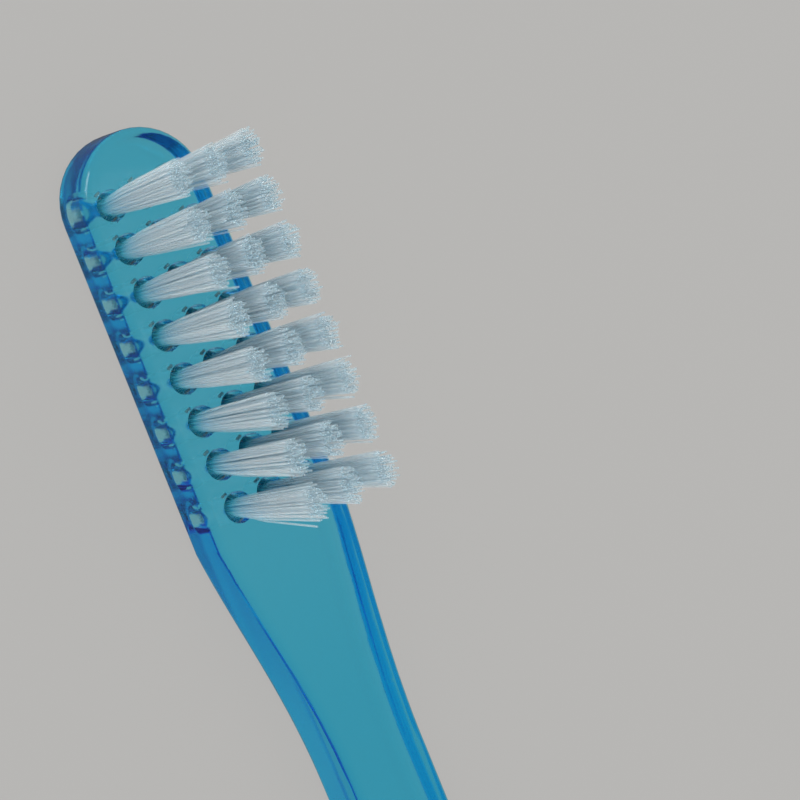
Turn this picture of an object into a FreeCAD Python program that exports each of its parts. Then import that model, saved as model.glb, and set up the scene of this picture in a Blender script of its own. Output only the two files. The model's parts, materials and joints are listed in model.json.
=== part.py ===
import FreeCAD, Part
import os
import Sketcher

# Manual toothbrush: a clear moulded handle with a drilled head, 24 nylon tufts and their metal anchors.
# The brush lies on its back. X runs along the length with the tip at +X, Y is the width, Z is up.
# The origin is under the middle of the brush, in the plane that it rests on.

# Driving sizes in millimetres and degrees, with what each one is
SIZES = {
    "overall_length": (175.0, "tip of the head to the butt of the grip"),
    "column_pitch": (2.5, "tuft to tuft along the head"),
    "row_pitch": (2.14, "tuft to tuft across the head"),
    "hole_diameter": (1.75, "drilled hole for one tuft"),
    "hole_depth": (2.9, "hole, from the face of the head"),
    "floor_thickness": (0.9, "plastic left under a hole"),
    "tip_run": (3.5, "first column of holes to the tip"),
    "tip_wall": (0.765, "plastic beside the outer holes at the tip"),
    "root_wall": (1.135, "plastic beside the outer holes at the neck"),
    "root_run": (1.75, "last column of holes to the start of the neck"),
    "head_face_radius": (0.55, "edge round the face of the head"),
    "head_back_radius": (0.9, "edge round the back of the head"),
    "back_facing": (0.02, "plastic taken off the rounded back to leave it flat"),
    "neck_taper_length": (14.5, "head narrowing into the neck"),
    "neck_width": (5.1, "slim part of the neck"),
    "neck_thickness": (4.35, "slim part of the neck"),
    "neck_face_radius": (0.5, "upper edges where the slim neck begins"),
    "shoulder_face_radius": (1.2, "upper edges where the slim neck ends"),
    "neck_length": (22.0, "slim part of the neck"),
    "shoulder_length": (34.0, "neck widening into the grip"),
    "grip_width": (10.4, "widest part of the grip"),
    "grip_thickness": (5.6, "thickest part of the grip"),
    "grip_face_radius": (2.2, "upper edges of the grip"),
    "grip_back_radius": (1.4, "lower edges of the grip"),
    "butt_width": (8.8, "grip where its end begins to round"),
    "butt_thickness": (4.8, "grip at its end"),
    "tuft_clearance": (0.05, "gap between a tuft and its hole"),
    "tuft_fold_radius": (0.4, "rounding of the folded bottom of a tuft"),
    "tuft_height": (9.4, "face of the head to the cut ends"),
    "tuft_tip_length": (2.2, "spread of the cut ends along the head"),
    "tuft_tip_width": (1.34, "spread of the cut ends across the head"),
    "end_lean": (0.32, "outward lean of the first and last columns at the cut ends"),
    "side_lean": (0.08, "outward lean of the outer rows at the cut ends"),
    "anchor_length": (1.9, "anchor, end to end"),
    "anchor_height": (1.4, "anchor, upright"),
    "anchor_thickness": (0.35, "anchor, metal strip"),
    "anchor_lift": (0.6, "floor of the hole to the lower edge of the anchor"),
    "anchor_clearance": (0.02, "gap round an anchor"),
    "anchor_turn": (20.0, "anchor, turned from the length of the head"),
}

COLUMNS = 8
ROWS = {"near": 1, "mid": 0, "far": -1}
EVEN_SPACING = -1      # a pattern's mark for a step that follows its own offset

doc = FreeCAD.newDocument("toothbrush")
sheet = doc.addObject("Spreadsheet::Sheet", "Sizes")


def fill_sheet():
    """Write each driving size to its own row: its name, its value under that alias, and what it is."""
    for row, (alias, (value, meaning)) in enumerate(SIZES.items(), start=1):
        sheet.set(f"A{row}", alias)
        sheet.set(f"B{row}", str(value))
        sheet.setAlias(f"B{row}", alias)
        sheet.set(f"C{row}", meaning)
    doc.recompute()


def size(alias):
    """The expression text for one driving size."""
    return f"Sizes.{alias}"


def blend(start, end, share):
    """The expression text for a value that lies the given share of the way from start to end."""
    return f"({start} + ({end} - {start}) * {share})"


# Sizes that follow from the driving ones, as expression text
TIP_X = f"({size('overall_length')} / 2)"
HEAD_THICKNESS = f"({size('hole_depth')} + {size('floor_thickness')})"
OUTER_HOLE_EDGE = f"({size('row_pitch')} + {size('hole_diameter')} / 2)"
TIP_RADIUS = f"({OUTER_HOLE_EDGE} + {size('tip_wall')})"
ROOT_HALF_WIDTH = f"({OUTER_HOLE_EDGE} + {size('root_wall')})"
NECK_HALF_WIDTH = f"({size('neck_width')} / 2)"
GRIP_HALF_WIDTH = f"({size('grip_width')} / 2)"
BUTT_HALF_WIDTH = f"({size('butt_width')} / 2)"
TIP_CENTRE_X = f"({TIP_X} - {TIP_RADIUS})"
FIRST_COLUMN_X = f"({TIP_X} - {size('tip_run')})"
HEAD_ROOT_X = f"({FIRST_COLUMN_X} - {COLUMNS - 1} * {size('column_pitch')} - {size('root_run')})"
NECK_X = f"({HEAD_ROOT_X} - {size('neck_taper_length')})"
SHOULDER_X = f"({NECK_X} - {size('neck_length')})"
GRIP_X = f"({SHOULDER_X} - {size('shoulder_length')})"
BUTT_X = f"(-{TIP_X} + {BUTT_HALF_WIDTH})"
SHANK_RADIUS = f"({size('hole_diameter')} / 2 - {size('tuft_clearance')})"
ANCHOR_BASE_Z = f"({size('floor_thickness')} + {size('anchor_lift')})"

# How far each stretch has changed at even steps between its two ends
NECK_TAPER_SHARES = (0.29, 0.64, 0.905)
SHOULDER_SHARES = (0.16, 0.5, 0.84)
GRIP_SHARES = (0.3,)
STRAIGHT_SHARES = ()


def origin_plane(body, role):
    """One of the body's own origin planes, found by its role."""
    return next(feature for feature in body.Origin.OriginFeatures if feature.Role == role)


def new_sketch(body, name, role, offset=None):
    """A sketch on an origin plane of the body, moved along its normal by the expression in offset."""
    sketch = body.newObject("Sketcher::SketchObject", name)
    sketch.AttachmentSupport = [(origin_plane(body, role), "")]
    sketch.MapMode = "FlatFace"
    if offset:
        sketch.setExpression("AttachmentOffset.Base.z", offset)
    return sketch


def dimension(sketch, kind, name, expression, *geometry):
    """Add a named dimension that is bound to an expression, starting from its present value."""
    value = float(sketch.evalExpression(expression))
    index = sketch.addConstraint(Sketcher.Constraint(kind, *geometry, value))
    sketch.renameConstraint(index, name)
    sketch.setExpression(f"Constraints.{name}", expression)


def line(start, end):
    """A straight sketch edge between two flat points."""
    return Part.LineSegment(FreeCAD.Vector(*start), FreeCAD.Vector(*end))


def corner_arc(centre, radius, start_angle):
    """A quarter circle that starts at an angle given in quarter turns."""
    quarter = FreeCAD.Units.Quantity("90 deg").getValueAs("rad").Value
    circle = Part.Circle(FreeCAD.Vector(*centre), FreeCAD.Vector(0, 0, 1), radius)
    return Part.ArcOfCircle(circle, start_angle * quarter, (start_angle + 1) * quarter)


def station(x, half_width, thickness, face_radius, back_radius):
    """The expressions for one cross-section of the handle."""
    return {
        "x": x,
        "half_width": half_width,
        "thickness": thickness,
        "face_radius": face_radius,
        "back_radius": back_radius,
        "facing": size("back_facing"),
    }


def values_of(sketch, section):
    """The present values of a cross-section's expressions."""
    return {key: float(sketch.evalExpression(text)) for key, text in section.items()}


def full_section(body, name, section):
    """A rounded rectangle across the handle, which reaches below the resting plane until the back is faced."""
    sketch = new_sketch(body, name, "YZ_Plane", section["x"])
    now = values_of(sketch, section)
    half, top, low = now["half_width"], now["thickness"], -now["facing"]
    face, back = now["face_radius"], now["back_radius"]
    bottom, right, upper, left, low_right, up_right, up_left, low_left = range(8)
    sketch.addGeometry(
        [
            line((-half + back, low, 0), (half - back, low, 0)),
            line((half, low + back, 0), (half, top - face, 0)),
            line((half - face, top, 0), (-half + face, top, 0)),
            line((-half, top - face, 0), (-half, low + back, 0)),
            corner_arc((half - back, low + back, 0), back, 3),
            corner_arc((half - face, top - face, 0), face, 0),
            corner_arc((-half + face, top - face, 0), face, 1),
            corner_arc((-half + back, low + back, 0), back, 2),
        ],
        False,
    )
    ring = (bottom, low_right, right, up_right, upper, up_left, left, low_left)
    for first, second in zip(ring, ring[1:] + ring[:1]):
        sketch.addConstraint(Sketcher.Constraint("Tangent", first, 2, second, 1))
    for edge in (bottom, upper):
        sketch.addConstraint(Sketcher.Constraint("Horizontal", edge))
    for edge in (right, left):
        sketch.addConstraint(Sketcher.Constraint("Vertical", edge))
    sketch.addConstraint(Sketcher.Constraint("Equal", low_right, low_left))
    sketch.addConstraint(Sketcher.Constraint("Equal", up_right, up_left))
    dimension(sketch, "Radius", "back_radius", section["back_radius"], low_right)
    dimension(sketch, "Radius", "face_radius", section["face_radius"], up_right)
    dimension(sketch, "DistanceX", "right_half", section["half_width"], -1, 1, right, 1)
    dimension(sketch, "DistanceX", "left_half", section["half_width"], left, 1, -1, 1)
    dimension(sketch, "DistanceY", "thickness", section["thickness"], -1, 1, upper, 1)
    dimension(sketch, "DistanceY", "facing", section["facing"], bottom, 1, -1, 1)
    return sketch


def half_section(body, name, section):
    """The +Y half of a cross-section, closed along the upright axis, for a rounded end."""
    sketch = new_sketch(body, name, "YZ_Plane", section["x"])
    now = values_of(sketch, section)
    half, top, low = now["half_width"], now["thickness"], -now["facing"]
    face, back = now["face_radius"], now["back_radius"]
    bottom, right, upper, middle, low_right, up_right = range(6)
    sketch.addGeometry(
        [
            line((0, low, 0), (half - back, low, 0)),
            line((half, low + back, 0), (half, top - face, 0)),
            line((half - face, top, 0), (0, top, 0)),
            line((0, top, 0), (0, low, 0)),
            corner_arc((half - back, low + back, 0), back, 3),
            corner_arc((half - face, top - face, 0), face, 0),
        ],
        False,
    )
    rounded = (bottom, low_right, right, up_right, upper)
    for first, second in zip(rounded, rounded[1:]):
        sketch.addConstraint(Sketcher.Constraint("Tangent", first, 2, second, 1))
    sketch.addConstraint(Sketcher.Constraint("Coincident", upper, 2, middle, 1))
    sketch.addConstraint(Sketcher.Constraint("Coincident", middle, 2, bottom, 1))
    sketch.addConstraint(Sketcher.Constraint("PointOnObject", bottom, 1, -2))
    for edge in (bottom, upper):
        sketch.addConstraint(Sketcher.Constraint("Horizontal", edge))
    for edge in (right, middle):
        sketch.addConstraint(Sketcher.Constraint("Vertical", edge))
    dimension(sketch, "Radius", "back_radius", section["back_radius"], low_right)
    dimension(sketch, "Radius", "face_radius", section["face_radius"], up_right)
    dimension(sketch, "DistanceX", "half_width", section["half_width"], -1, 1, right, 1)
    dimension(sketch, "DistanceY", "thickness", section["thickness"], -1, 1, upper, 2)
    dimension(sketch, "DistanceY", "facing", section["facing"], bottom, 1, -1, 1)
    return sketch


def head_station(x, half_width):
    """A cross-section of the head, which keeps one thickness and one set of edges."""
    return station(x, half_width, HEAD_THICKNESS, size("head_face_radius"), size("head_back_radius"))


def handle_stations():
    """The cross-sections where one stretch of the handle meets the next, from the tip to the butt."""
    neck_back = size("head_back_radius")
    neck_thickness = size("neck_thickness")
    grip_edges = (size("grip_face_radius"), size("grip_back_radius"))
    return {
        "tip": head_station(TIP_CENTRE_X, TIP_RADIUS),
        "root": head_station(HEAD_ROOT_X, ROOT_HALF_WIDTH),
        "neck": station(NECK_X, NECK_HALF_WIDTH, neck_thickness, size("neck_face_radius"), neck_back),
        "shoulder": station(
            SHOULDER_X, NECK_HALF_WIDTH, neck_thickness, size("shoulder_face_radius"), neck_back
        ),
        "grip": station(GRIP_X, GRIP_HALF_WIDTH, size("grip_thickness"), *grip_edges),
        "butt": station(BUTT_X, BUTT_HALF_WIDTH, size("butt_thickness"), *grip_edges),
    }


def stretch(body, name, start, end, changed_shares):
    """A solid from one cross-section to another, through even steps that have changed by the given shares."""
    stations = [start]
    for step, changed in enumerate(changed_shares, start=1):
        between = {key: blend(start[key], end[key], changed) for key in start}
        between["x"] = blend(start["x"], end["x"], step / (len(changed_shares) + 1))
        stations.append(between)
    stations.append(end)
    sketches = [full_section(body, f"{name}_{number}", section) for number, section in enumerate(stations)]
    doc.recompute()
    loft = body.newObject("PartDesign::AdditiveLoft", name)
    loft.Profile = sketches[0]
    loft.Sections = sketches[1:]
    loft.Ruled = not changed_shares
    doc.recompute()
    return loft


def round_end(body, name, section, reversed_turn):
    """Half a turn of a half cross-section about its upright axis."""
    sketch = half_section(body, f"{name}_profile", section)
    doc.recompute()
    end = body.newObject("PartDesign::Revolution", name)
    end.Profile = sketch
    end.ReferenceAxis = (sketch, ["V_Axis"])
    end.Angle = 180
    end.Reversed = reversed_turn
    doc.recompute()
    return end


def face_back(body):
    """Take the back down to the resting plane, so that it is one flat face from head to butt."""
    sketch = new_sketch(body, "back_outline", "XY_Plane")
    wider_than_any = f"({size('grip_width')} + {size('butt_width')} + 2 * {ROOT_HALF_WIDTH})"
    centred_rectangle(sketch, size("overall_length"), wider_than_any)
    doc.recompute()
    facing = body.newObject("PartDesign::Pocket", "faced_back")
    facing.Profile = sketch
    facing.setExpression("Length", f"2 * {size('back_facing')}")
    doc.recompute()


def pattern_over_head(body, name, feature):
    """Repeat a cut of the first hole over all columns and rows."""
    pattern = body.newObject("PartDesign::LinearPattern", name)
    pattern.Originals = [feature]
    pattern.Direction = (origin_plane(body, "X_Axis"), [""])
    pattern.Reversed = True
    pattern.Mode = "Spacing"
    pattern.setExpression("Offset", size("column_pitch"))
    pattern.Occurrences = COLUMNS
    pattern.Spacings = [EVEN_SPACING] * (COLUMNS - 1)
    pattern.Direction2 = (origin_plane(body, "Y_Axis"), [""])
    pattern.Mode2 = "Spacing"
    pattern.setExpression("Offset2", size("row_pitch"))
    pattern.Occurrences2 = len(ROWS)
    pattern.Spacings2 = [EVEN_SPACING] * (len(ROWS) - 1)
    body.Tip = pattern
    doc.recompute()
    return pattern


def drill_holes(body):
    """The blind holes for the tufts, drilled from the face of the head."""
    sketch = new_sketch(body, "hole_circle", "XY_Plane", HEAD_THICKNESS)
    sketch.setExpression("AttachmentOffset.Base.x", FIRST_COLUMN_X)
    sketch.setExpression("AttachmentOffset.Base.y", f"-{size('row_pitch')}")
    radius = float(sketch.evalExpression(f"{size('hole_diameter')} / 2"))
    sketch.addGeometry(Part.Circle(FreeCAD.Vector(0, 0, 0), FreeCAD.Vector(0, 0, 1), radius), False)
    sketch.addConstraint(Sketcher.Constraint("Coincident", 0, 3, -1, 1))
    dimension(sketch, "Diameter", "hole", size("hole_diameter"), 0)
    doc.recompute()
    hole = body.newObject("PartDesign::Pocket", "hole")
    hole.Profile = sketch
    hole.setExpression("Length", size("hole_depth"))
    doc.recompute()
    pattern_over_head(body, "holes", hole)


def centred_rectangle(sketch, width, height):
    """A rectangle about the sketch's origin, with both sides bound to expressions."""
    half_width = float(sketch.evalExpression(width)) / 2
    half_height = float(sketch.evalExpression(height)) / 2
    corners = [
        (-half_width, -half_height, 0),
        (half_width, -half_height, 0),
        (half_width, half_height, 0),
        (-half_width, half_height, 0),
    ]
    sketch.addGeometry([line(a, b) for a, b in zip(corners, corners[1:] + corners[:1])], False)
    for edge in range(4):
        sketch.addConstraint(Sketcher.Constraint("Coincident", edge, 2, (edge + 1) % 4, 1))
    for edge in (0, 2):
        sketch.addConstraint(Sketcher.Constraint("Horizontal", edge))
    for edge in (1, 3):
        sketch.addConstraint(Sketcher.Constraint("Vertical", edge))
    sketch.addConstraint(Sketcher.Constraint("Symmetric", 0, 1, 1, 2, -1, 1))
    dimension(sketch, "DistanceX", "width", width, 0, 1, 0, 2)
    dimension(sketch, "DistanceY", "height", height, 1, 1, 1, 2)


def cut_anchor_slots(body):
    """The bites that the anchors make in the walls of the holes, from the anchor's foot to its top."""
    clear = f"2 * {size('anchor_clearance')}"
    top = f"({ANCHOR_BASE_Z} + {size('anchor_height')} + {size('anchor_clearance')})"
    sketch = new_sketch(body, "bite_outline", "XY_Plane", top)
    sketch.setExpression("AttachmentOffset.Base.x", FIRST_COLUMN_X)
    sketch.setExpression("AttachmentOffset.Base.y", f"-{size('row_pitch')}")
    sketch.setExpression("AttachmentOffset.Rotation.Angle", size("anchor_turn"))
    length = f"({size('anchor_length')} + {clear})"
    thickness = f"({size('anchor_thickness')} + {clear})"
    centred_rectangle(sketch, length, thickness)
    doc.recompute()
    bite = body.newObject("PartDesign::Pocket", "bite")
    bite.Profile = sketch
    bite.setExpression("Length", f"{size('anchor_height')} + {clear}")
    doc.recompute()
    pattern_over_head(body, "bites", bite)


def make_handle():
    """Head, neck and grip: one moulding with drilled holes."""
    body = doc.addObject("PartDesign::Body", "handle")
    at = handle_stations()
    stretch(body, "head", at["tip"], at["root"], STRAIGHT_SHARES)
    stretch(body, "neck_taper", at["root"], at["neck"], NECK_TAPER_SHARES)
    stretch(body, "slim_neck", at["neck"], at["shoulder"], STRAIGHT_SHARES)
    stretch(body, "shoulder", at["shoulder"], at["grip"], SHOULDER_SHARES)
    stretch(body, "grip", at["grip"], at["butt"], GRIP_SHARES)
    round_end(body, "tip_end", at["tip"], reversed_turn=True)
    round_end(body, "butt_end", at["butt"], reversed_turn=False)
    face_back(body)
    drill_holes(body)
    cut_anchor_slots(body)
    return body


def tuft_shank(body):
    """The part of a tuft that fills its hole, rounded at the fold."""
    sketch = new_sketch(body, "shank_profile", "XZ_Plane")
    depth = f"({size('hole_depth')} - {size('tuft_clearance')})"
    radius = float(sketch.evalExpression(SHANK_RADIUS))
    low = -float(sketch.evalExpression(depth))
    fold = float(sketch.evalExpression(size("tuft_fold_radius")))
    floor, side, top, middle, corner = range(5)
    sketch.addGeometry(
        [
            line((0, low, 0), (radius - fold, low, 0)),
            line((radius, low + fold, 0), (radius, 0, 0)),
            line((radius, 0, 0), (0, 0, 0)),
            line((0, 0, 0), (0, low, 0)),
            corner_arc((radius - fold, low + fold, 0), fold, 3),
        ],
        False,
    )
    sketch.addConstraint(Sketcher.Constraint("Tangent", floor, 2, corner, 1))
    sketch.addConstraint(Sketcher.Constraint("Tangent", corner, 2, side, 1))
    sketch.addConstraint(Sketcher.Constraint("Coincident", side, 2, top, 1))
    sketch.addConstraint(Sketcher.Constraint("Coincident", top, 2, middle, 1))
    sketch.addConstraint(Sketcher.Constraint("Coincident", middle, 2, floor, 1))
    sketch.addConstraint(Sketcher.Constraint("Coincident", top, 2, -1, 1))
    for edge in (floor, top):
        sketch.addConstraint(Sketcher.Constraint("Horizontal", edge))
    for edge in (side, middle):
        sketch.addConstraint(Sketcher.Constraint("Vertical", edge))
    dimension(sketch, "Radius", "fold", size("tuft_fold_radius"), corner)
    dimension(sketch, "DistanceX", "radius", SHANK_RADIUS, -1, 1, side, 2)
    dimension(sketch, "DistanceY", "depth", depth, floor, 1, -1, 1)
    doc.recompute()
    shank = body.newObject("PartDesign::Revolution", "shank")
    shank.Profile = sketch
    shank.ReferenceAxis = (sketch, ["V_Axis"])
    shank.Angle = 360
    doc.recompute()


def oval(sketch, along, across):
    """An ellipse about the sketch's origin, longer along X, with both half sizes bound to expressions."""
    major = float(sketch.evalExpression(along))
    minor = float(sketch.evalExpression(across))
    ellipse = Part.Ellipse(FreeCAD.Vector(0, 0, 0), major, minor)
    sketch.addGeometry(ellipse, False)
    sketch.exposeInternalGeometry(0)
    long_axis, short_axis = 1, 2
    sketch.addConstraint(Sketcher.Constraint("Coincident", 0, 3, -1, 1))
    sketch.addConstraint(Sketcher.Constraint("Horizontal", long_axis))
    dimension(sketch, "Distance", "along", f"2 * {along}", long_axis, 1, long_axis, 2)
    dimension(sketch, "Distance", "across", f"2 * {across}", short_axis, 1, short_axis, 2)


def tuft_brush(body, column_share, row):
    """The free length of a tuft, fanning out from its round hole to an oval of cut ends that leans outward."""
    root = new_sketch(body, "root_circle", "XY_Plane")
    radius = float(root.evalExpression(SHANK_RADIUS))
    root.addGeometry(Part.Circle(FreeCAD.Vector(0, 0, 0), FreeCAD.Vector(0, 0, 1), radius), False)
    root.addConstraint(Sketcher.Constraint("Coincident", 0, 3, -1, 1))
    dimension(root, "Radius", "radius", SHANK_RADIUS, 0)
    ends = new_sketch(body, "end_oval", "XY_Plane", size("tuft_height"))
    ends.setExpression("AttachmentOffset.Base.x", f"{size('end_lean')} * {column_share}")
    ends.setExpression("AttachmentOffset.Base.y", f"{size('side_lean')} * {row}")
    oval(ends, f"{size('tuft_tip_length')} / 2", f"{size('tuft_tip_width')} / 2")
    doc.recompute()
    brush = body.newObject("PartDesign::AdditiveLoft", "brush")
    brush.Profile = root
    brush.Sections = [ends]
    brush.Ruled = True
    doc.recompute()


def tuft_slot(body):
    """The way through the folded tuft that its anchor takes."""
    clear = f"2 * {size('anchor_clearance')}"
    sketch = new_sketch(body, "anchor_way", "XY_Plane")
    top = f"{ANCHOR_BASE_Z} + {size('anchor_height')} + {size('anchor_clearance')} - {HEAD_THICKNESS}"
    sketch.setExpression("AttachmentOffset.Base.z", top)
    sketch.setExpression("AttachmentOffset.Rotation.Angle", size("anchor_turn"))
    length = f"({size('anchor_length')} + {clear})"
    thickness = f"({size('anchor_thickness')} + {clear})"
    centred_rectangle(sketch, length, thickness)
    doc.recompute()
    slot = body.newObject("PartDesign::Pocket", "slot")
    slot.Profile = sketch
    slot.setExpression("Length", f"{size('anchor_height')} + {clear}")
    doc.recompute()


def make_tuft(row_name, column):
    """One folded tuft, set in its hole."""
    row = ROWS[row_name]
    column_share = 1 - 2 * column / (COLUMNS - 1)
    body = doc.addObject("PartDesign::Body", f"tuft_{row_name}_{column + 1}")
    tuft_shank(body)
    tuft_brush(body, column_share, row)
    tuft_slot(body)
    body.setExpression("Placement.Base.x", f"{FIRST_COLUMN_X} - {column} * {size('column_pitch')}")
    body.setExpression("Placement.Base.y", f"{row} * {size('row_pitch')}")
    body.setExpression("Placement.Base.z", HEAD_THICKNESS)
    doc.recompute()
    return body


def make_anchors():
    """All the anchors as one group of separate solids, each turned and centred in its hole."""
    anchors = []
    for row_name, row in ROWS.items():
        for column in range(COLUMNS):
            anchor = doc.addObject("Part::Box", f"anchor_{row_name}_{column + 1}")
            anchor.setExpression("Length", size("anchor_length"))
            anchor.setExpression("Width", size("anchor_thickness"))
            anchor.setExpression("Height", size("anchor_height"))
            turn = size("anchor_turn")
            along = f"{size('anchor_length')} / 2"
            across = f"{size('anchor_thickness')} / 2"
            hole_x = f"{FIRST_COLUMN_X} - {column} * {size('column_pitch')}"
            hole_y = f"{row} * {size('row_pitch')}"
            anchor.setExpression("Placement.Rotation.Angle", turn)
            anchor.setExpression(
                "Placement.Base.x", f"{hole_x} - {along} * cos({turn}) + {across} * sin({turn})"
            )
            anchor.setExpression(
                "Placement.Base.y", f"{hole_y} - {along} * sin({turn}) - {across} * cos({turn})"
            )
            anchor.setExpression("Placement.Base.z", ANCHOR_BASE_Z)
            anchors.append(anchor)
    group = doc.addObject("Part::Compound", "anchor_staples")
    group.Links = anchors
    doc.recompute()
    return group


def check_document(pieces):
    """Stop if any feature failed, or if a piece is broken or cuts into the handle."""
    failed = [item.Name for item in doc.Objects if {"Invalid", "Error"} & set(item.State)]
    if failed:
        raise RuntimeError(f"features failed: {failed}")
    for piece in pieces:
        if piece.Shape.isNull() or not piece.Shape.isValid():
            raise RuntimeError(f"broken solid: {piece.Label}")
    handle, *seated = pieces
    for piece in seated:
        if handle.Shape.common(piece.Shape).Volume > 0:
            raise RuntimeError(f"cuts into the handle: {piece.Label}")


def write_pieces(pieces):
    """Write each piece to its own file, named by its label."""
    os.makedirs("parts", exist_ok=True)
    for piece in pieces:
        piece.Shape.exportStep(f"parts/{piece.Label}.step")
        print(f"{piece.Label}: {len(piece.Shape.Solids)} solid(s), {piece.Shape.Volume:.3f} mm3")


fill_sheet()
pieces = [make_handle()]
pieces += [make_tuft(row_name, column) for row_name in ROWS for column in range(COLUMNS)]
pieces.append(make_anchors())
check_document(pieces)
write_pieces(pieces)
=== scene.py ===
import json
import math

import bpy
import numpy as np
from mathutils import Matrix, Vector

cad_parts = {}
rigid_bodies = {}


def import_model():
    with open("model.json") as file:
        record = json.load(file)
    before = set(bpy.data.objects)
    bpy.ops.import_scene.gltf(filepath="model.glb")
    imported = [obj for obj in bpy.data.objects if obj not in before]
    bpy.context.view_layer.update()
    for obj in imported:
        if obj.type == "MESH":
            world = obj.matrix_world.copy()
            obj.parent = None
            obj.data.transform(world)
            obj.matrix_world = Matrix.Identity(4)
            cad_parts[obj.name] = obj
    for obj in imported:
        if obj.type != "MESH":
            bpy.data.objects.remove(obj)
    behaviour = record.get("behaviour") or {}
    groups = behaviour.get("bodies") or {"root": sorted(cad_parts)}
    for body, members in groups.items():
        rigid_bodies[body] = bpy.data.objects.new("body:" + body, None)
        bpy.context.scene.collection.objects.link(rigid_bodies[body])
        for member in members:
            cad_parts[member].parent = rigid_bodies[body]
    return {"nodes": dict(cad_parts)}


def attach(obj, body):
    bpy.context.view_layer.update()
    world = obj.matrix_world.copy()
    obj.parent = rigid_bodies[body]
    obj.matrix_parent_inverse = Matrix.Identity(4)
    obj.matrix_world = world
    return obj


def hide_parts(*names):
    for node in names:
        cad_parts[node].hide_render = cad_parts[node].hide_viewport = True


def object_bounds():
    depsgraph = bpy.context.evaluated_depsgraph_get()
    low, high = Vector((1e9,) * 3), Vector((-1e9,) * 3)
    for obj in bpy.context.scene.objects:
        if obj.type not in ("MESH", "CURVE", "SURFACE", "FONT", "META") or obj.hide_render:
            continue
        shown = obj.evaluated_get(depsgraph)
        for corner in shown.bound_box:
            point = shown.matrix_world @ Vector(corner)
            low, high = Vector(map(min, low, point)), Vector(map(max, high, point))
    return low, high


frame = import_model()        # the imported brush: its nodes, its one body and its record
CAD_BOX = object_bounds()

bl_info = {
    "name": "Manual toothbrush",
    "version": (1, 0, 0),
    "blender": (4, 5, 0),
    "location": "3D View > Sidebar > Toothbrush",
    "description": "Dresses a toothbrush: clear blue handle, nylon tufts, metal anchors and a plain stage",
    "category": "Object",
}

BODY = "root"
COLUMNS = 8
ROWS = {"near": 1, "mid": 0, "far": -1}
MILLIMETRE = 0.001

# Patterns of the materials
FLOW_WIDTH = 2.5 * MILLIMETRE        # width of a flow mark in the moulding
FLOW_RUN = 14 * MILLIMETRE           # length of a flow mark
FLOW_DEPTH = 0.01 * MILLIMETRE       # height of a flow mark, drawn higher than life so that it shows
FLOW_DETAIL = 3                      # layers of finer and finer marks
POLISHED_BELOW = 0.35                # strength of a flow mark up to which the moulding is polished
HANDLED_ABOVE = 0.65                 # strength of a flow mark from which it is handled
DRAW_LINE = 0.08 * MILLIMETRE        # width of a streak from drawing the filament, as fine as still shows
DRAW_RUN = 4 * MILLIMETRE            # length of such a streak
ROLLING_LINE = 0.05 * MILLIMETRE     # width of a rolling line on the metal strip
ROLLING_RUN = 1.5 * MILLIMETRE       # length that a rolling line keeps its tone
LINE_DETAIL = 2                      # layers of finer and finer streaks and lines

# Finish of the nylon and the metal
STRAND = "strand"                    # attribute that gives each filament its own tone
NYLON_REFRACTION = 1.53
NYLON_GLOSS = 0.15                   # level of its gloss, where 0.5 is the plain level
NYLON_SPREAD = 4                     # how far light spreads inside the nylon, in widths of a filament
DULL_ROUGHNESS = 0.4                 # roughness of the dullest filaments
PALE_ROUGHNESS = 0.55                # roughness of the palest filaments
PAINTED_ROOT_FADE = 3                        # power by which the painted blue light of the head fades up a filament
METAL_SMOOTH = 0.45                  # roughness of the metal between its rolling lines
METAL_LINED = 0.6                    # roughness of the metal on its rolling lines

# Sockets of a Mix node by number, because several of them share one name
MIX_SHARE = 0
MIX_FIRST_NUMBER = 2
MIX_SECOND_NUMBER = 3
MIX_FIRST_COLOUR = 6
MIX_SECOND_COLOUR = 7
MIXED_NUMBER = 0
MIXED_COLOUR = 2

# One filament and its place in a tuft
FILAMENT_SIDES = 5
FREE_SHARES = (0, 0.3, 1)            # heights of its rings above the face, as shares of its free length
FOLD_STEPS = 2
TIP_WIDTH = 0.55                     # flat of the rounded tip, as a share of the filament's width
TIP_HEIGHT = 0.25                    # height of the rounded tip, as a share of the filament's width
PACKING_SHARE = 1.06                 # filament to filament in a hole, as a share of the filament's width
FAN_SHARE = 0.75                     # power of the curve by which a tuft fans out above its hole
SMOOTH_ANGLE = math.radians(80)      # edges flatter than this are shaded round
SEED = 24

# How far light and sight reach
CLEAR_BOUNCES = 24                   # inner reflections of the clear head
MILKY_BOUNCES = 8                    # steps of light from filament to filament
NEAR_CLIP = 10 * MILLIMETRE          # nearest thing that the camera sees
FAR_CLIP = 20000 * MILLIMETRE        # farthest thing that the camera sees


def linear(hex_colour):
    """A linear colour from an sRGB hex value."""
    shares = [int(hex_colour[start:start + 2], 16) / 255 for start in (1, 3, 5)]
    return tuple(s / 12.92 if s <= 0.04045 else ((s + 0.055) / 1.055) ** 2.4 for s in shares)


def length(name, description, default):
    """A length property, in metres."""
    return bpy.props.FloatProperty(
        name=name, description=description, default=default, unit="LENGTH", precision=5
    )


def share(name, description, default):
    """A property between 0 and 1."""
    return bpy.props.FloatProperty(
        name=name, description=description, default=default, min=0, max=1, subtype="FACTOR"
    )


def colour(name, description, hex_colour):
    """A colour property."""
    return bpy.props.FloatVectorProperty(
        name=name, description=description, default=linear(hex_colour), min=0, max=1, subtype="COLOR"
    )


def place(name, description, default):
    """A point of the frame, in metres."""
    return bpy.props.FloatVectorProperty(
        name=name, description=description, default=default, subtype="TRANSLATION", precision=5
    )


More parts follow.
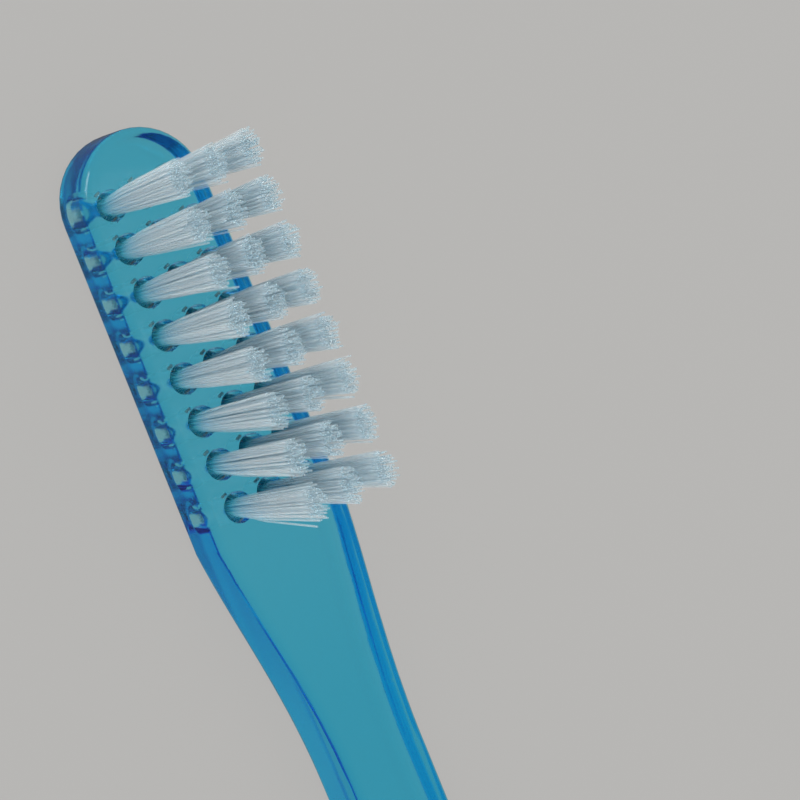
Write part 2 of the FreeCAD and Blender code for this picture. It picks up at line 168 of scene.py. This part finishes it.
class HandleSettings(bpy.types.PropertyGroup):
    """The look of the clear moulding."""

    passed: colour("Passed light", "Colour that the plastic lets through best", "#53EFFE")
    tint: bpy.props.FloatProperty(
        name="Tint", description="Absorption for each metre of plastic", default=585.0, min=0
    )
    refraction: bpy.props.FloatProperty(
        name="Refraction", description="Index of refraction of the plastic", default=1.53, min=1
    )
    polish: share("Polish", "Roughness where the moulding is still polished", 0.09)
    handled: share("Handled", "Roughness where it has been handled and rinsed", 0.15)
    wave: share("Wave", "Strength of the faint flow marks in the moulding", 0.15)


class AnchorSettings(bpy.types.PropertyGroup):
    """The look of the anchors."""

    dull: colour("Dull metal", "Colour of the metal between its rolling lines", "#D2D3D1")
    bright: colour("Bright metal", "Colour of the metal on its rolling lines", "#EBEBE7")


class TuftSettings(bpy.types.PropertyGroup):
    """The sizes and the look of the tufts."""

    column_pitch: length("Column pitch", "Tuft to tuft along the head", 0.0025)
    row_pitch: length("Row pitch", "Tuft to tuft across the head", 0.00214)
    tip_run: length("Tip run", "First column to the tip of the head", 0.0035)
    face_height: length("Face height", "Resting plane to the face of the head", 0.0038)
    shank_radius: length("Shank radius", "Bundle of filaments inside its hole", 0.00082)
    fold_depth: length("Fold depth", "Face of the head to the bottom of the fold", 0.00285)
    anchor_depth: length("Anchor depth", "Face of the head to the top of the anchor", 0.0009)
    waist_radius: length("Waist radius", "Bundle of filaments where it leaves its hole", 0.0006)
    free_length: length("Free length", "Face of the head to the cut ends", 0.0094)
    end_length: length("End length", "Spread of the cut ends along the head", 0.0022)
    end_width: length("End width", "Spread of the cut ends across the head", 0.00134)
    end_lean: length("End lean", "Outward lean of the first and last columns", 0.00032)
    side_lean: length("Side lean", "Outward lean of the outer rows", 0.00008)
    filament: length("Filament", "Diameter of one nylon filament", 0.00012)
    anchor_gap: length("Anchor gap", "Room that the anchor takes between the two halves of a tuft", 0.00039)
    anchor_turn: bpy.props.FloatProperty(
        name="Anchor turn", description="Anchor, turned from the length of the head",
        default=math.radians(20), subtype="ANGLE",
    )
    ragged: length("Ragged ends", "How far the cut ends differ in height", 0.00012)
    unrest: length("Unrest", "How far a cut end lies from its even place", 0.00007)
    stray: length("Stray", "How far a stray end leaves its tuft", 0.0002)
    stray_share: share("Stray share", "Share of the ends that stray", 0.05)
    streak_share: share("Streaks", "Share of a filament's tone that comes from its drawn streaks", 0.4)
    body: share("Body", "How far one filament hides what is behind it", 0.32)
    pale: colour("Pale strands", "Colour of the palest filaments", "#EFFBFF")
    dull: colour("Dull strands", "Colour of the dullest filaments", "#D8EFFA")
    # Root and Root reach are painted light: the head's blue light painted on the filaments in and above
    # their holes
    painted_root_light: colour("Root", "Colour that the blue head gives the filaments at their roots", "#50D7F6")
    painted_root_reach: length("Root reach", "Height above the face at which that colour has faded", 0.007)
    # Ends and End reach are painted shade and painted light: the up-facing cut ends darkened against the
    # light that falls on them, and given a painted blue glow
    painted_end_shade_and_glow: colour("Ends", "Colour of the light that comes out of the cut ends", "#AACBD7")
    painted_end_reach: length("End reach", "Length at the cut ends over which that colour comes in", 0.0006)


class StageSettings(bpy.types.PropertyGroup):
    """The floor, the light and the camera."""

    backdrop: colour("Backdrop", "Colour of the floor and of what surrounds it", "#B6B5B3")
    floor_gap: length("Floor gap", "Back of the brush to the floor", 0.00002)
    floor_size: length("Floor size", "Side of the floor", 4.0)
    shadow_share: share("Shadow share", "Share of the floor's look that follows the light", 0.09)
    mirror_share: share("Mirror share", "Share of the even backdrop that shows in a gloss", 0.2)
    daylight: bpy.props.FloatProperty(
        name="Daylight", description="Strength of the even light from all sides", default=1.1, min=0
    )
    room_light: bpy.props.FloatProperty(
        name="Room light", description="Room seen through the clear plastic, against the backdrop",
        default=1.15, min=0,
    )
    window_place: place("Window", "Middle of the soft window lamp", (0.45, 0.33, 0.52))
    window_aim: place("Window aim", "Point that the window lamp faces", (0.075, 0.0, 0.004))
    window_size: length("Window size", "Side of the window lamp", 0.28)
    window_power: bpy.props.FloatProperty(
        name="Window power", description="Power of the window lamp", default=0.9, min=0, unit="POWER"
    )
    lens: bpy.props.FloatProperty(
        name="Lens", description="Focal length on a sensor 36 mm wide", default=190.6, min=1, unit="CAMERA"
    )
    camera_place: place("Camera", "Where the camera stands", (0.09331, 0.09636, 0.20877))
    camera_aim: place("Aim", "Point in the middle of the picture", (0.06792, -0.0093, 0.0038))
    camera_up: bpy.props.FloatVectorProperty(
        name="Up", description="Direction that points up in the picture", default=(0.9191, -0.3879, 0.0858),
        subtype="DIRECTION",
    )


class ToothbrushSettings(bpy.types.PropertyGroup):
    """All that a user would change."""

    handle: bpy.props.PointerProperty(type=HandleSettings)
    anchors: bpy.props.PointerProperty(type=AnchorSettings)
    tufts: bpy.props.PointerProperty(type=TuftSettings)
    stage: bpy.props.PointerProperty(type=StageSettings)


def settings():
    """The scene's own settings."""
    return bpy.context.scene.toothbrush


def new_material(name):
    """An empty node material and its tree."""
    material = bpy.data.materials.new(name)
    material.use_nodes = True
    material.node_tree.nodes.clear()
    return material, material.node_tree


def add_node(tree, kind, inputs=None, **settings_of_node):
    """A node with its settings, and with a value or a link on each socket named in inputs."""
    node = tree.nodes.new(kind)
    for name, value in settings_of_node.items():
        setattr(node, name, value)
    for socket, value in (inputs or {}).items():
        if isinstance(value, bpy.types.NodeSocket):
            tree.links.new(value, node.inputs[socket])
        else:
            node.inputs[socket].default_value = value
    return node


def clear_copolyester():
    """Clear tinted copolyester, moulded in a polished tool: glossy, and deeper in colour where thick."""
    look = settings().handle
    material, tree = new_material("clear_blue_copolyester")
    spot = add_node(tree, "ShaderNodeTexCoord")
    flow = add_node(tree, "ShaderNodeMapping", {
        "Vector": spot.outputs["Object"], "Scale": (1 / FLOW_RUN, 1 / FLOW_WIDTH, 1 / FLOW_WIDTH),
    })
    swirl = add_node(tree, "ShaderNodeTexNoise", {
        "Vector": flow.outputs[0], "Scale": 1, "Detail": FLOW_DETAIL,
    })
    handled = add_node(tree, "ShaderNodeMapRange", {
        "Value": swirl.outputs["Fac"], "From Min": POLISHED_BELOW, "From Max": HANDLED_ABOVE,
        "To Min": look.polish, "To Max": look.handled,
    })
    wave = add_node(tree, "ShaderNodeBump", {
        "Height": swirl.outputs["Fac"], "Strength": look.wave, "Distance": FLOW_DEPTH,
    })
    shader = add_node(tree, "ShaderNodeBsdfPrincipled", {
        "Base Color": (1, 1, 1, 1),
        "Roughness": handled.outputs[0],
        "IOR": look.refraction,
        "Transmission Weight": 1,
        "Normal": wave.outputs[0],
    })
    tint = add_node(tree, "ShaderNodeVolumeAbsorption", {
        "Color": (*look.passed, 1),
        "Density": look.tint,
    })
    add_node(tree, "ShaderNodeOutputMaterial", {"Surface": shader.outputs[0], "Volume": tint.outputs[0]})
    return material


def painted_root_and_end_light(tree, spot, tone, look):
    """The nylon's tone, with painted light: the head's blue light painted on the filaments at their roots,
    and painted shade and a painted blue glow at their cut ends.
    """
    height = add_node(tree, "ShaderNodeSeparateXYZ", {"Vector": spot})
    # Painted blue light of the head: full at the face and in the hole, fading up the filament
    nearness = add_node(tree, "ShaderNodeMapRange", {
        "Value": height.outputs["Z"],
        "From Min": look.face_height + look.painted_root_reach, "From Max": look.face_height,
    })
    at_root = add_node(tree, "ShaderNodeMath", {0: nearness.outputs[0], 1: PAINTED_ROOT_FADE}, operation="POWER")
    with_root = add_node(tree, "ShaderNodeMix", {
        MIX_SHARE: at_root.outputs[0],
        MIX_FIRST_COLOUR: tone, MIX_SECOND_COLOUR: (*look.painted_root_light, 1),
    }, data_type="RGBA")
    # Painted shade and a painted blue glow at the cut ends
    top = look.face_height + look.free_length
    at_end = add_node(tree, "ShaderNodeMapRange", {
        "Value": height.outputs["Z"], "From Min": top - look.painted_end_reach, "From Max": top,
    }, interpolation_type="SMOOTHSTEP")
    with_end = add_node(tree, "ShaderNodeMix", {
        MIX_SHARE: at_end.outputs[0],
        MIX_FIRST_COLOUR: with_root.outputs[MIXED_COLOUR], MIX_SECOND_COLOUR: (*look.painted_end_shade_and_glow, 1),
    }, data_type="RGBA")
    return with_end.outputs[MIXED_COLOUR]


def drawn_nylon():
    """Drawn nylon filament: milky white, half see-through, with drawn streaks, no two strands alike,
    painted blue light at its roots and painted shade and glow at its cut ends.
    """
    look = settings().tufts
    material, tree = new_material("drawn_nylon_filament")
    strand = add_node(tree, "ShaderNodeAttribute", attribute_name=STRAND)
    spot = add_node(tree, "ShaderNodeTexCoord")
    drawn = add_node(tree, "ShaderNodeMapping", {
        "Vector": spot.outputs["Object"], "Scale": (1 / DRAW_LINE, 1 / DRAW_LINE, 1 / DRAW_RUN),
    })
    streak = add_node(tree, "ShaderNodeTexNoise", {
        "Vector": drawn.outputs[0], "Scale": 1, "Detail": LINE_DETAIL,
    })
    pale = add_node(tree, "ShaderNodeMix", {
        MIX_SHARE: look.streak_share,
        MIX_FIRST_NUMBER: strand.outputs["Fac"], MIX_SECOND_NUMBER: streak.outputs["Fac"],
    }, data_type="FLOAT")
    tone = add_node(tree, "ShaderNodeMix", {
        MIX_SHARE: pale.outputs[MIXED_NUMBER],
        MIX_FIRST_COLOUR: (*look.dull, 1), MIX_SECOND_COLOUR: (*look.pale, 1),
    }, data_type="RGBA")
    sheen = add_node(tree, "ShaderNodeMapRange", {
        "Value": pale.outputs[MIXED_NUMBER], "To Min": DULL_ROUGHNESS, "To Max": PALE_ROUGHNESS,
    })
    shader = add_node(tree, "ShaderNodeBsdfPrincipled", {
        "Base Color": painted_root_and_end_light(tree, spot.outputs["Object"], tone.outputs[MIXED_COLOUR], look),
        "Roughness": sheen.outputs[0],
        "IOR": NYLON_REFRACTION,
        "Alpha": look.body,
        "Specular IOR Level": NYLON_GLOSS,
        "Subsurface Weight": 1,
        "Subsurface Radius": (1, 1, 1),
        "Subsurface Scale": look.filament * NYLON_SPREAD,
    })
    add_node(tree, "ShaderNodeOutputMaterial", {"Surface": shader.outputs[0]})
    return material


def rolled_white_metal():
    """Rolled strip of white metal, cut to length: a dull silver grey with fine rolling lines along it."""
    look = settings().anchors
    material, tree = new_material("rolled_white_metal_strip")
    spot = add_node(tree, "ShaderNodeTexCoord")
    lines = add_node(tree, "ShaderNodeMapping", {
        "Vector": spot.outputs["Object"], "Scale": (1 / ROLLING_RUN, 1 / ROLLING_RUN, 1 / ROLLING_LINE),
    })
    grain = add_node(tree, "ShaderNodeTexNoise", {
        "Vector": lines.outputs[0], "Scale": 1, "Detail": LINE_DETAIL,
    })
    tone = add_node(tree, "ShaderNodeMix", {
        MIX_SHARE: grain.outputs["Fac"],
        MIX_FIRST_COLOUR: (*look.dull, 1), MIX_SECOND_COLOUR: (*look.bright, 1),
    }, data_type="RGBA")
    gloss = add_node(tree, "ShaderNodeMapRange", {
        "Value": grain.outputs["Fac"], "To Min": METAL_SMOOTH, "To Max": METAL_LINED,
    })
    shader = add_node(tree, "ShaderNodeBsdfPrincipled", {
        "Base Color": tone.outputs[MIXED_COLOUR],
        "Metallic": 1,
        "Roughness": gloss.outputs[0],
    })
    add_node(tree, "ShaderNodeOutputMaterial", {"Surface": shader.outputs[0]})
    return material


def seen_strength(tree, through=1):
    """How strongly the backdrop shows: in full directly, by through in clear plastic, less in a gloss."""
    path = add_node(tree, "ShaderNodeLightPath")
    mirrored = add_node(tree, "ShaderNodeMath", {
        0: path.outputs["Is Glossy Ray"], 1: settings().stage.mirror_share,
    }, operation="MULTIPLY")
    either = add_node(tree, "ShaderNodeMath", {
        0: path.outputs["Is Camera Ray"], 1: mirrored.outputs[0],
    }, operation="MAXIMUM")
    passed = add_node(tree, "ShaderNodeMath", {
        0: path.outputs["Is Transmission Ray"], 1: through,
    }, operation="MULTIPLY")
    return add_node(tree, "ShaderNodeMath", {
        0: either.outputs[0], 1: passed.outputs[0],
    }, operation="MAXIMUM").outputs[0]


def is_seen(tree, strength, whole=1):
    """The share of the even backdrop where it shows at all, and none where light falls on the object."""
    shows = add_node(tree, "ShaderNodeMath", {0: strength, 1: 0}, operation="GREATER_THAN")
    return add_node(tree, "ShaderNodeMath", {
        0: shows.outputs[0], 1: whole,
    }, operation="MULTIPLY").outputs[0]


def grey_card():
    """Matt grey card: an even pale grey that keeps a trace of the object's shadow."""
    look = settings().stage
    material, tree = new_material("matt_grey_card")
    strength = seen_strength(tree)
    card = add_node(tree, "ShaderNodeBsdfDiffuse", {"Color": (*look.backdrop, 1)})
    glow = add_node(tree, "ShaderNodeEmission", {"Color": (*look.backdrop, 1), "Strength": strength})
    mix = add_node(tree, "ShaderNodeMixShader", {
        0: is_seen(tree, strength, 1 - look.shadow_share), 1: card.outputs[0], 2: glow.outputs[0],
    })
    add_node(tree, "ShaderNodeOutputMaterial", {"Surface": mix.outputs[0]})
    return material


def grey_room():
    """Even daylight, with the backdrop's grey wherever the surroundings are seen."""
    look = settings().stage
    world = bpy.data.worlds.new("grey_room")
    world.use_nodes = True
    tree = world.node_tree
    tree.nodes.clear()
    strength = seen_strength(tree, look.room_light)
    light = add_node(tree, "ShaderNodeBackground", {"Color": (1, 1, 1, 1), "Strength": look.daylight})
    seen = add_node(tree, "ShaderNodeBackground", {"Color": (*look.backdrop, 1), "Strength": strength})
    mix = add_node(tree, "ShaderNodeMixShader", {
        0: is_seen(tree, strength), 1: light.outputs[0], 2: seen.outputs[0],
    })
    add_node(tree, "ShaderNodeOutputWorld", {"Surface": mix.outputs[0]})
    return world


def select_nothing():
    """Leave edit mode and deselect every object, the CAD nodes among them."""
    if bpy.context.mode != "OBJECT":
        bpy.ops.object.mode_set(mode="OBJECT")
    bpy.ops.object.select_all(action="DESELECT")


def select_only(piece):
    """Make a piece the only selected object and the active one."""
    select_nothing()
    piece.select_set(True)
    bpy.context.view_layer.objects.active = piece


def dress(piece, material):
    """Give a piece one material in all its slots."""
    if not piece.material_slots:
        piece.data.materials.append(material)
    for slot in piece.material_slots:
        slot.material = material


class TOOTHBRUSH_OT_handle(bpy.types.Operator):
    """Give the moulded handle its clear blue plastic"""

    bl_idname = "toothbrush.handle"
    bl_label = "Dress the handle"

    def execute(self, context):
        dress(frame["nodes"]["handle"], clear_copolyester())
        return {"FINISHED"}


class TOOTHBRUSH_OT_anchors(bpy.types.Operator):
    """Give the anchors their metal"""

    bl_idname = "toothbrush.anchors"
    bl_label = "Dress the anchors"

    def execute(self, context):
        dress(frame["nodes"]["anchor_staples"], rolled_white_metal())
        return {"FINISHED"}


def first_row(look):
    """The middle of the anchor to the nearest row of filaments."""
    return (look.anchor_gap + look.filament) / 2


def hole_places(look):
    """Where the folded filaments stand in a hole: along the anchor, and off its middle, in close rows."""
    step = look.filament * PACKING_SHARE
    reach = look.shank_radius - look.filament / 2
    places = []
    off = first_row(look)
    shifted = True
    while off < reach:
        half_chord = math.sqrt(reach ** 2 - off ** 2)
        start = step / 2 if shifted else 0
        rungs = np.arange(start, half_chord, step)
        places += [(along, off) for along in sorted({*rungs, *-rungs})]
        off = off + step * math.sqrt(3) / 2
        shifted = not shifted
    return np.array(places)


def fold_height(look):
    """Height of the centre of the folds from the face: the widest fold just reaches the fold depth."""
    return hole_places(look)[:, 1].max() + look.filament / 2 - look.fold_depth


def filament_rings(look):
    """Height and turn round the fold of each ring of a folded filament, from one cut end to the other."""
    leg = [look.free_length * height_share for height_share in reversed(FREE_SHARES)]
    leg = [look.free_length + look.filament * TIP_HEIGHT, *leg, -look.anchor_depth]
    fold = [fold_height(look)] * (FOLD_STEPS + 1)
    turns = [math.pi * step / FOLD_STEPS for step in range(FOLD_STEPS + 1)]
    heights = np.array([*leg, *fold, *reversed(leg)])
    turned = np.array([*[0] * len(leg), *turns, *[math.pi] * len(leg)])
    return heights, turned


def extrude_up(by):
    """Extrude the selected end of the filament along Z."""
    bpy.ops.mesh.extrude_region_move(TRANSFORM_OT_translate={"value": (0, 0, by)})


def draw_leg(look):
    """Extrude the selected end up through the hole to a rounded cut end."""
    extrude_up(-look.anchor_depth - fold_height(look))
    extrude_up(look.anchor_depth)
    for lower, upper in zip(FREE_SHARES, FREE_SHARES[1:]):
        extrude_up(look.free_length * (upper - lower))
    extrude_up(look.filament * TIP_HEIGHT)
    bpy.ops.transform.resize(value=(TIP_WIDTH, TIP_WIDTH, 1))


def select_foot(filament, low, look):
    """Select only the face at the foot of the first leg, in edit mode."""
    bpy.ops.object.mode_set(mode="OBJECT")
    for group in (filament.data.vertices, filament.data.edges):
        group.foreach_set("select", [False] * len(group))
    for face in filament.data.polygons:
        face.select = abs(face.center.z - low) < look.filament / 2
    bpy.ops.object.mode_set(mode="EDIT")


def model_filament(look):
    """One folded filament, which crosses under the anchor between its two upright legs."""
    off = first_row(look)
    low = fold_height(look)
    select_nothing()
    bpy.ops.mesh.primitive_circle_add(
        vertices=FILAMENT_SIDES, radius=look.filament / 2, fill_type="NGON", location=(0, off, low)
    )
    bpy.ops.object.transform_apply(location=True)
    filament = bpy.context.active_object
    bpy.ops.object.mode_set(mode="EDIT")
    bpy.ops.mesh.select_all(action="SELECT")
    draw_leg(look)
    select_foot(filament, low, look)
    bpy.ops.mesh.spin(steps=FOLD_STEPS, angle=-math.pi, center=(0, 0, low), axis=(1, 0, 0))
    draw_leg(look)
    bpy.ops.mesh.select_all(action="SELECT")
    bpy.ops.mesh.normals_make_consistent(inside=False)
    bpy.ops.object.mode_set(mode="OBJECT")
    return filament


def ring_of_vertex(filament, look):
    """The ring that each vertex of the filament is on, and its offset from the middle of that ring."""
    heights, turned = filament_rings(look)
    off = first_row(look)
    middles = np.stack((heights * 0, off * np.cos(turned), heights - off * np.sin(turned)), axis=1)
    points = np.array([vertex.co for vertex in filament.data.vertices])
    ring = np.linalg.norm(points[:, None] - middles, axis=2).argmin(axis=1)
    return ring, points - middles[ring]


def fill_tuft(filament, count):
    """Copies of one filament, joined into a tuft that has yet to be combed."""
    select_only(filament)
    for _ in range(count - 1):
        bpy.ops.object.duplicate()
    bpy.ops.object.select_all(action="DESELECT")
    for piece in bpy.data.objects:
        piece.select_set(piece.name.startswith(filament.name))
    bpy.context.view_layer.objects.active = filament
    bpy.ops.object.join()
    bpy.ops.object.shade_smooth_by_angle(angle=SMOOTH_ANGLE)
    return filament


def turned_flat(points, angle):
    """Flat points turned about the middle of the tuft."""
    ahead = (math.cos(angle), math.sin(angle))
    aside = (-math.sin(angle), math.cos(angle))
    return points @ np.array((ahead, aside))


def closed_bundle(places, look):
    """One half of the filaments, closed up above the anchor, as shares of a round bundle."""
    reach = look.shank_radius - look.filament / 2
    along, off = places.T
    inner = np.abs(off).min()
    outer = np.abs(off).max()
    closed = look.filament / 2 + (np.abs(off) - inner) * (reach - look.filament / 2) / (outer - inner)
    bundle = turned_flat(np.stack((along, np.sign(off) * closed), axis=1), look.anchor_turn) / reach
    return bundle * np.minimum(1, 1 / np.linalg.norm(bundle, axis=1, keepdims=True))


def cut_ends(bundle, look, lean, chance):
    """Where the ends of one half of the filaments lie: in a leaning oval, each a little off its place."""
    oval = np.array((look.end_length, look.end_width)) / 2 - look.filament / 2
    ends = bundle * oval + chance.normal(0, look.unrest, bundle.shape)
    strays = chance.random(len(ends)) < look.stray_share
    return ends + lean + strays[:, None] * chance.normal(0, look.stray, ends.shape)


def lay_legs(places, heights, look, lean, chance):
    """The middles of the rings of one half of the filaments, from the hole by the waist to the cut ends."""
    bundle = closed_bundle(places, look)
    roots = turned_flat(places, look.anchor_turn)[:, None]
    waist = (bundle * (look.waist_radius - look.filament / 2))[:, None]
    ends = cut_ends(bundle, look, lean, chance)[:, None]
    fanned = (np.clip(heights / look.free_length, 0, None) ** FAN_SHARE)[:, None]
    flat = np.where(heights[:, None] < 0, roots, waist + (ends - waist) * fanned)
    cut = 1 - np.abs(chance.normal(0, look.ragged, (len(places), 1))) / look.free_length
    upright = np.where(heights > 0, heights * cut, heights)
    return np.concatenate((flat, upright[:, :, None]), axis=2)


def lay_folds(places, heights, turned, look):
    """The middles of the rings where the filaments cross under the anchor."""
    along = np.repeat(places[:, :1], len(turned), axis=1)
    across = places[:, 1:] * np.cos(turned)
    flat = turned_flat(np.stack((along, across), axis=2), look.anchor_turn)
    upright = heights - places[:, 1:] * np.sin(turned)
    return np.concatenate((flat, upright[:, :, None]), axis=2)


def comb_tuft(tuft, pattern, column, row, look):
    """Lay each filament of a tuft from its place in the hole to its own cut end."""
    ring, offset = pattern
    heights, turned = filament_rings(look)
    places = hole_places(look)
    chance = np.random.default_rng((SEED, column, row + 1))
    lean = np.array((look.end_lean * (1 - 2 * column / (COLUMNS - 1)), look.side_lean * row))
    middles = np.zeros((len(places), len(heights), 3))
    strands = np.zeros((len(places), len(heights)))
    for side in (1, -1):
        on_side = np.cos(turned) * side > 0
        middles[:, on_side] = lay_legs(places * (1, side), heights[on_side], look, lean, chance)
        strands[:, on_side] = chance.random((len(places), 1))
    in_fold = np.isclose(heights, fold_height(look))
    middles[:, in_fold] = lay_folds(places, heights[in_fold], turned[in_fold], look)
    flat_offset = turned_flat(offset[:, :2], look.anchor_turn)
    tip = CAD_BOX[1][0]
    hole = (tip - look.tip_run - column * look.column_pitch, row * look.row_pitch, look.face_height)
    points = middles[:, ring] + np.concatenate((flat_offset, offset[:, 2:]), axis=1) + hole
    tuft.data.vertices.foreach_set("co", points.ravel())
    strand = tuft.data.attributes.new(STRAND, "FLOAT", "POINT")
    strand.data.foreach_set("value", strands[:, ring].ravel())
    tuft.data.update()


class TOOTHBRUSH_OT_tufts(bpy.types.Operator):
    """Make the tufts of folded nylon filaments"""

    bl_idname = "toothbrush.tufts"
    bl_label = "Make the tufts"

    def execute(self, context):
        look = settings().tufts
        nylon = drawn_nylon()
        filament = model_filament(look)
        filament.name = "filament"
        pattern = ring_of_vertex(filament, look)
        bundle = fill_tuft(filament, len(hole_places(look)))
        dress(bundle, nylon)
        for row_name, row in ROWS.items():
            for column in range(COLUMNS):
                self.set_tuft(context, bundle, pattern, row_name, column, look)
        bpy.data.objects.remove(bundle)
        return {"FINISHED"}

    def set_tuft(self, context, bundle, pattern, row_name, column, look):
        """Copy the bundle into one hole and comb it there."""
        node = f"tuft_{row_name}_{column + 1}"
        tuft = bundle.copy()
        tuft.data = bundle.data.copy()
        tuft.name = f"filaments_{row_name}_{column + 1}"
        context.collection.objects.link(tuft)
        comb_tuft(tuft, pattern, column, ROWS[row_name], look)
        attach(tuft, BODY)
        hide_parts(node)


class TOOTHBRUSH_OT_stage(bpy.types.Operator):
    """Set the floor, the light and the camera"""

    bl_idname = "toothbrush.stage"
    bl_label = "Set the stage"

    def execute(self, context):
        look = settings().stage
        scene = context.scene
        scene.view_settings.view_transform = "Standard"
        select_nothing()
        bpy.ops.mesh.primitive_plane_add(size=look.floor_size, location=(0, 0, -look.floor_gap))
        floor = context.active_object
        floor.name = "floor"
        dress(floor, grey_card())
        scene.world = grey_room()
        self.hang_window(look)
        self.let_light_through(scene)
        self.place_camera(scene, look)
        return {"FINISHED"}

    def hang_window(self, look):
        """Hang a soft window lamp on the near side of the tip."""
        middle = Vector(look.window_place)
        select_nothing()
        bpy.ops.object.light_add(type="AREA", location=middle)
        window = bpy.context.active_object
        window.rotation_euler = (middle - Vector(look.window_aim)).to_track_quat("Z", "Y").to_euler()
        window.data.size = look.window_size
        window.data.energy = look.window_power

    def let_light_through(self, scene):
        """Follow light through the inner reflections of the clear head and from filament to filament."""
        scene.cycles.max_bounces = CLEAR_BOUNCES
        scene.cycles.diffuse_bounces = MILKY_BOUNCES
        scene.cycles.glossy_bounces = CLEAR_BOUNCES
        scene.cycles.transmission_bounces = CLEAR_BOUNCES
        scene.cycles.transparent_max_bounces = CLEAR_BOUNCES

    def place_camera(self, scene, look):
        """Stand the camera where the photograph was taken from."""
        select_nothing()
        bpy.ops.object.camera_add(location=look.camera_place)
        camera = bpy.context.active_object
        back = (Vector(look.camera_place) - Vector(look.camera_aim)).normalized()
        right = Vector(look.camera_up).cross(back).normalized()
        up = back.cross(right)
        turn = Matrix((right, up, back)).transposed()
        camera.matrix_world = Matrix.LocRotScale(Vector(look.camera_place), turn.to_quaternion(), None)
        camera.data.lens = look.lens
        camera.data.clip_start = NEAR_CLIP
        camera.data.clip_end = FAR_CLIP
        scene.camera = camera


class TOOTHBRUSH_PT_sidebar(bpy.types.Panel):
    """Buttons that dress the toothbrush's pieces and set the stage"""

    bl_label = "Toothbrush"
    bl_space_type = "VIEW_3D"
    bl_region_type = "UI"
    bl_category = "Toothbrush"

    def draw(self, context):
        for operator in OPERATORS:
            self.layout.operator(operator.bl_idname)


OPERATORS = (TOOTHBRUSH_OT_handle, TOOTHBRUSH_OT_anchors, TOOTHBRUSH_OT_tufts, TOOTHBRUSH_OT_stage)
CLASSES = (
    HandleSettings, AnchorSettings, TuftSettings, StageSettings, ToothbrushSettings,
    *OPERATORS, TOOTHBRUSH_PT_sidebar,
)


def register():
    """Register the classes and hang the settings on the scene."""
    for each in CLASSES:
        bpy.utils.register_class(each)
    bpy.types.Scene.toothbrush = bpy.props.PointerProperty(type=ToothbrushSettings)


def unregister():
    """Take the settings and the classes away again."""
    del bpy.types.Scene.toothbrush
    for each in reversed(CLASSES):
        bpy.utils.unregister_class(each)


def main():
    """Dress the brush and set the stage."""
    register()
    bpy.ops.toothbrush.handle()
    bpy.ops.toothbrush.anchors()
    bpy.ops.toothbrush.tufts()
    bpy.ops.toothbrush.stage()


if __name__ == "__main__":
    main()
